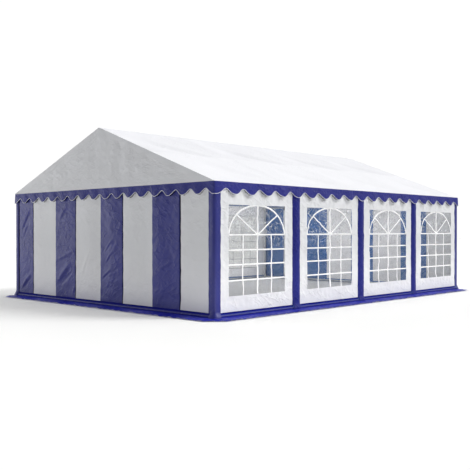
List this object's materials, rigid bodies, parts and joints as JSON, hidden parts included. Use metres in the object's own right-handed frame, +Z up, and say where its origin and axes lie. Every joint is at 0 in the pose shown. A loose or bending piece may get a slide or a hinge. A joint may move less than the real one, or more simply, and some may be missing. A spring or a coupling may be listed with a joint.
{
  "type": "party tent",
  "caption": "Rectangular frame party tent with a gable roof, scalloped valances, striped end walls, side walls with arched-bar film windows, and ground flaps all round.",
  "frame": {"origin": "centre of the tent's footprint, ground flaps included, at ground level", "axes": "+Z up; +Y along the ridge, towards the back; -Y towards the front gable; +X towards the right side wall"},
  "size_m": [6.72, 8.72, 3.2665],
  "materials": {
    "white_cover": "white coated polyester cover, satin",
    "blue_cover": "navy blue coated polyester cover, satin",
    "striped_cover": "white coated polyester cover with navy blue upright stripes, satin",
    "window_film": "clear soft film with printed white bars, glossy",
    "galvanised_steel": "galvanised, dull grey"
  },
  "bodies": {
    "root": {"post_left_1": "galvanised_steel", "post_left_2": "galvanised_steel", "post_left_3": "galvanised_steel", "post_left_4": "galvanised_steel", "post_left_5": "galvanised_steel", "base_rail_left": "galvanised_steel", "eave_rail_left": "galvanised_steel", "mid_rail_left": "galvanised_steel", "roof_left": "white_cover", "window_wall_left_1": "white_cover", "window_film_left_1": "window_film", "window_wall_left_2": "white_cover", "window_film_left_2": "window_film", "window_wall_left_3": "white_cover", "window_film_left_3": "window_film", "window_wall_left_4": "white_cover", "window_film_left_4": "window_film", "post_right_1": "galvanised_steel", "post_right_2": "galvanised_steel", "post_right_3": "galvanised_steel", "post_right_4": "galvanised_steel", "post_right_5": "galvanised_steel", "base_rail_right": "galvanised_steel", "eave_rail_right": "galvanised_steel", "mid_rail_right": "galvanised_steel", "roof_right": "white_cover", "window_wall_right_1": "white_cover", "window_film_right_1": "window_film", "window_wall_right_2": "white_cover", "window_film_right_2": "window_film", "window_wall_right_3": "white_cover", "window_film_right_3": "window_film", "window_wall_right_4": "white_cover", "window_film_right_4": "window_film", "roof_frame_1": "galvanised_steel", "roof_frame_2": "galvanised_steel", "roof_frame_3": "galvanised_steel", "roof_frame_4": "galvanised_steel", "roof_frame_5": "galvanised_steel", "ridge_rail": "galvanised_steel", "gable_wall_front": "striped_cover", "gable_top_front": "white_cover", "gable_beam_front": "galvanised_steel", "gable_base_rail_front": "galvanised_steel", "gable_wall_back": "striped_cover", "gable_top_back": "white_cover", "gable_beam_back": "galvanised_steel", "gable_base_rail_back": "galvanised_steel", "valance_front": "blue_cover", "ground_flap_front": "blue_cover", "valance_back": "blue_cover", "ground_flap_back": "blue_cover", "valance_left": "blue_cover", "ground_flap_left": "blue_cover", "valance_right": "blue_cover", "ground_flap_right": "blue_cover"}
  },
  "joints": []
}
